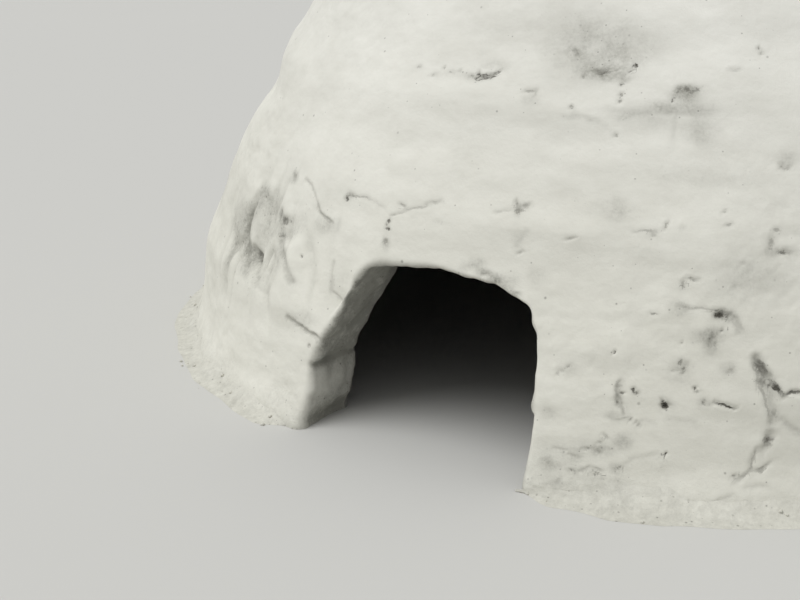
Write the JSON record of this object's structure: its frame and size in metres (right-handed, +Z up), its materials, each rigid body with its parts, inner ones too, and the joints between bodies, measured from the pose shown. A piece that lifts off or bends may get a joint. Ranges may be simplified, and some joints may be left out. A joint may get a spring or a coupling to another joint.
{
  "type": "snow block igloo",
  "caption": "Hollow dome of packed snow blocks with a low arched doorway at ground level and a bank of snow round its foot.",
  "frame": {"origin": "on the ground under the middle of the outline", "axes": "+Z up, doorway faces -Y, +X to the right seen from in front of the doorway"},
  "size_m": [3.15, 3.1154, 1.7],
  "materials": {
    "snow_block": "packed snow, matte, smoothed over by hand with pits and faint joints",
    "snow_bank": "loose trodden snow, matte and granular, a little dirty"
  },
  "bodies": {
    "root": {"course_1_blocks_a": "snow_block", "course_1_blocks_b": "snow_block", "course_2_blocks_a": "snow_block", "course_2_blocks_b": "snow_block", "course_3_blocks_a": "snow_block", "course_3_blocks_b": "snow_block", "course_4_blocks_a": "snow_block", "course_4_blocks_b": "snow_block", "course_5_blocks_a": "snow_block", "course_5_blocks_b": "snow_block", "course_6_blocks_a": "snow_block", "course_6_blocks_b": "snow_block", "course_7_blocks_a": "snow_block", "course_7_blocks_b": "snow_block", "course_8_blocks_a": "snow_block", "course_8_blocks_b": "snow_block", "foot_bank_1": "snow_bank", "foot_bank_2": "snow_bank", "foot_bank_3": "snow_bank", "foot_bank_4": "snow_bank", "foot_bank_5": "snow_bank", "foot_bank_6": "snow_bank", "foot_bank_7": "snow_bank", "foot_bank_8": "snow_bank", "foot_bank_9": "snow_bank", "key_block": "snow_block", "left_arch_block": "snow_block", "left_jamb_block_1": "snow_block", "lintel_block": "snow_block", "right_arch_block": "snow_block", "right_jamb_block_1": "snow_block"}
  },
  "joints": []
}
